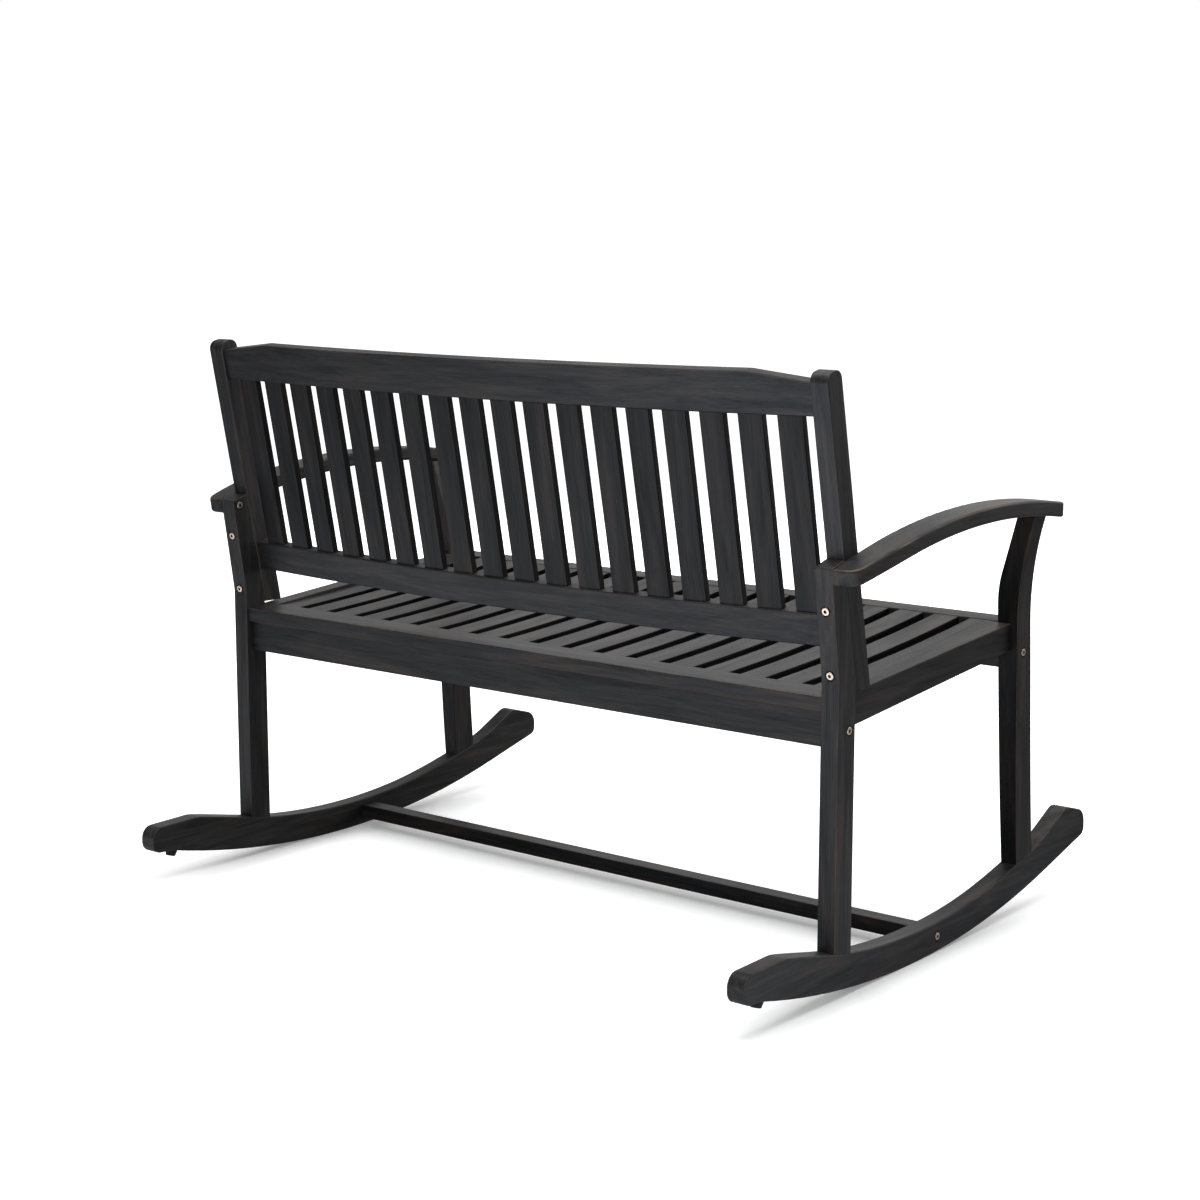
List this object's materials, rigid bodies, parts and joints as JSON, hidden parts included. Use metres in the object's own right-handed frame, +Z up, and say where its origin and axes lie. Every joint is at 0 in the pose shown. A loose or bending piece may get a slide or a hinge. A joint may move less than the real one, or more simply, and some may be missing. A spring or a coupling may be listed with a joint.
{
  "type": "rocking bench",
  "caption": "Two-seat slatted wooden rocking bench with curved rockers, a bowed slatted back and curved armrests, for porch and patio seating.",
  "frame": {"origin": "on the floor, below the middle of the bench's length and width, with the bench at rest on its rockers", "axes": "+X along the bench towards the sitter's left hand, +Y towards the back, +Z up; the bench faces -Y"},
  "size_m": [1.34, 0.986, 0.9019],
  "materials": {
    "stained_wood": "satin",
    "dowel_wood": "matte",
    "bolt_steel": "satin",
    "zinc_steel": "satin",
    "insert_brass": "satin",
    "pad_rubber": "matte"
  },
  "bodies": {
    "root": {"arm_bolts": "bolt_steel", "back_bolts": "bolt_steel", "back_bottom_rail": "stained_wood", "back_dowels": "dowel_wood", "back_slat_01": "stained_wood", "back_slat_02": "stained_wood", "back_slat_03": "stained_wood", "back_slat_04": "stained_wood", "back_slat_05": "stained_wood", "back_slat_06": "stained_wood", "back_slat_07": "stained_wood", "back_slat_08": "stained_wood", "back_slat_09": "stained_wood", "back_slat_10": "stained_wood", "back_slat_11": "stained_wood", "back_slat_12": "stained_wood", "back_slat_13": "stained_wood", "back_slat_14": "stained_wood", "back_slat_15": "stained_wood", "back_slat_16": "stained_wood", "back_slat_17": "stained_wood", "back_slat_18": "stained_wood", "back_top_rail": "stained_wood", "barrel_nuts": "zinc_steel", "frame_bolts": "bolt_steel", "frame_dowels": "dowel_wood", "front_apron": "stained_wood", "front_ledger": "stained_wood", "front_seat_board": "stained_wood", "left_armrest": "stained_wood", "left_back_post": "stained_wood", "left_front_leg": "stained_wood", "left_rear_leg": "stained_wood", "left_rocker": "stained_wood", "left_side_rail": "stained_wood", "rear_apron": "stained_wood", "rear_ledger": "stained_wood", "rear_seat_board": "stained_wood", "right_armrest": "stained_wood", "right_back_post": "stained_wood", "right_front_leg": "stained_wood", "right_rear_leg": "stained_wood", "right_rocker": "stained_wood", "right_side_rail": "stained_wood", "rocker_stretcher": "stained_wood", "seat_batten": "stained_wood", "seat_slats_01_02": "stained_wood", "seat_slats_03_04": "stained_wood", "seat_slats_05_06": "stained_wood", "seat_slats_07_08": "stained_wood", "seat_slats_09_10": "stained_wood", "seat_slats_11_12": "stained_wood", "seat_slats_13_14": "stained_wood", "seat_slats_15_16": "stained_wood", "seat_slats_17_18": "stained_wood", "stop_pads": "pad_rubber", "threaded_inserts": "insert_brass", "wood_screws": "zinc_steel"}
  },
  "joints": []
}
